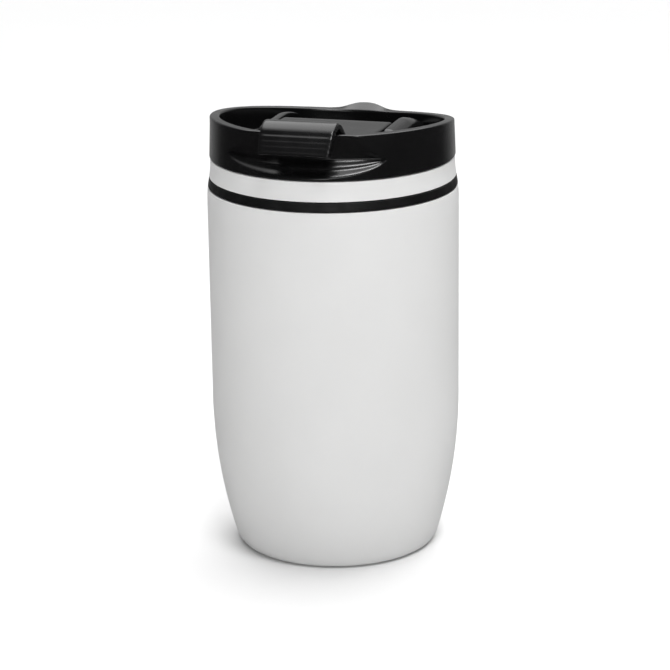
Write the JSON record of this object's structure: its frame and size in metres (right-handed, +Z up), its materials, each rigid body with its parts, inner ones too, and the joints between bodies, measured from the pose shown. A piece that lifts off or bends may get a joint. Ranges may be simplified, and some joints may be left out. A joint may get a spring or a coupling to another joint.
{
  "type": "insulated travel tumbler",
  "caption": "Double-wall travel tumbler with a belly-shaped shell, trim ring, screw-on lid and a flip-up lever whose hook reaches over the rim.",
  "frame": {"origin": "centre of the base on the surface it stands on, on the cup's axis", "axes": "+Z up along the cup's axis; -Y towards the drinking side and the lever's hook; X along the lever's hinge"},
  "size_m": [0.0846, 0.0867, 0.1539],
  "materials": {
    "white_plastic": "satin white",
    "black_plastic": "satin black",
    "black_silicone": "matt black",
    "clear_silicone": "milky, matt",
    "liner_steel": "drawn, lightly brushed",
    "pin_steel": "ground"
  },
  "bodies": {
    "cup": {"outer_shell": "white_plastic", "base_cap": "white_plastic", "base_pad": "black_silicone", "liner": "liner_steel", "liner_gasket": "black_silicone", "neck_collar": "white_plastic", "trim_ring": "black_silicone"},
    "seal": {"lid_gasket": "black_silicone"},
    "lid": {"lid_shell": "black_plastic", "lid_insert": "black_plastic", "insert_seal": "black_silicone", "spout_grommet": "black_silicone", "hinge_pin": "pin_steel"},
    "lever": {"flip_lever": "black_plastic", "drink_stopper": "clear_silicone", "vent_stopper": "clear_silicone"}
  },
  "joints": [
    {"name": "lid_lift", "type": "slide", "parent": "cup", "child": "seal", "axis": [0, 0, 1], "range_m": [0, 0.0241]},
    {"name": "lid_twist", "type": "hinge", "parent": "seal", "child": "lid", "pos_m": [0, 0, 0.13], "axis": [0, 0, 1], "range_deg": [0, 1080]},
    {"name": "lever_flip", "type": "hinge", "parent": "lid", "child": "lever", "pos_m": [0, 0.005, 0.143], "axis": [-1, 0, 0], "range_deg": [0, 110]}
  ],
  "couplings": [
    {"joint": "lid_lift", "follows": "lid_twist", "m_per_rad": 0.0012732}
  ]
}
